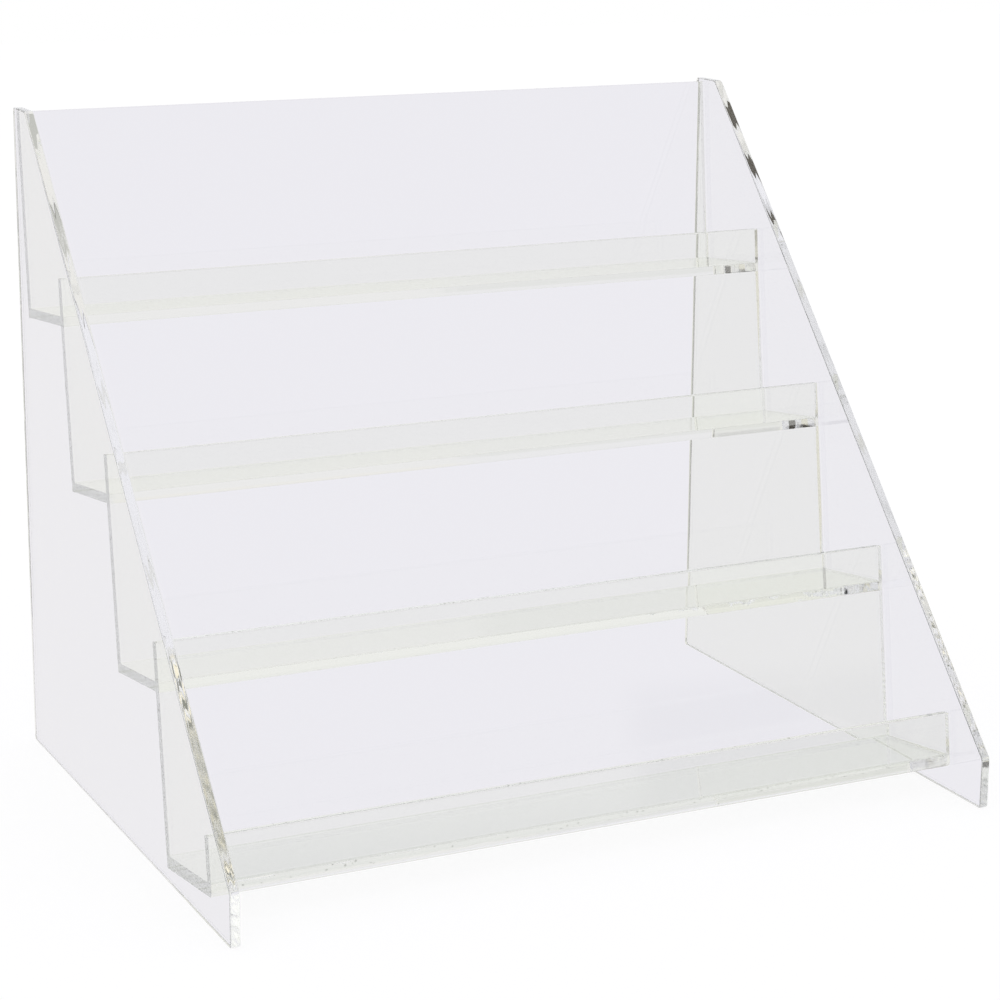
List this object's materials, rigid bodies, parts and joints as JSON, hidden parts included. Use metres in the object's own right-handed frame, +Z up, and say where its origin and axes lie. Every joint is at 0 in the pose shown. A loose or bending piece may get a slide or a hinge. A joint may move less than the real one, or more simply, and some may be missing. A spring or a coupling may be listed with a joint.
{
  "type": "acrylic step riser",
  "caption": "Clear acrylic step riser with tapered side panels carrying stepped, back-tilted shelves, each with a low front lip and an upright panel behind it.",
  "frame": {"origin": "on the table under the middle of the whole riser", "axes": "+X across the width, to the right as seen from the front; the front, with the lips, towards -Y; +Z up"},
  "size_m": [0.381, 0.2824, 0.3188],
  "materials": {
    "clear_acrylic": "clear, with flame-polished edges"
  },
  "bodies": {
    "root": {"left_side_panel": "clear_acrylic", "right_side_panel": "clear_acrylic", "back_panel": "clear_acrylic", "tier_1_shelf": "clear_acrylic", "tier_1_lip": "clear_acrylic", "tier_2_riser": "clear_acrylic", "tier_2_shelf": "clear_acrylic", "tier_2_lip": "clear_acrylic", "tier_3_riser": "clear_acrylic", "tier_3_shelf": "clear_acrylic", "tier_3_lip": "clear_acrylic", "tier_4_riser": "clear_acrylic", "tier_4_shelf": "clear_acrylic", "tier_4_lip": "clear_acrylic"}
  },
  "joints": []
}
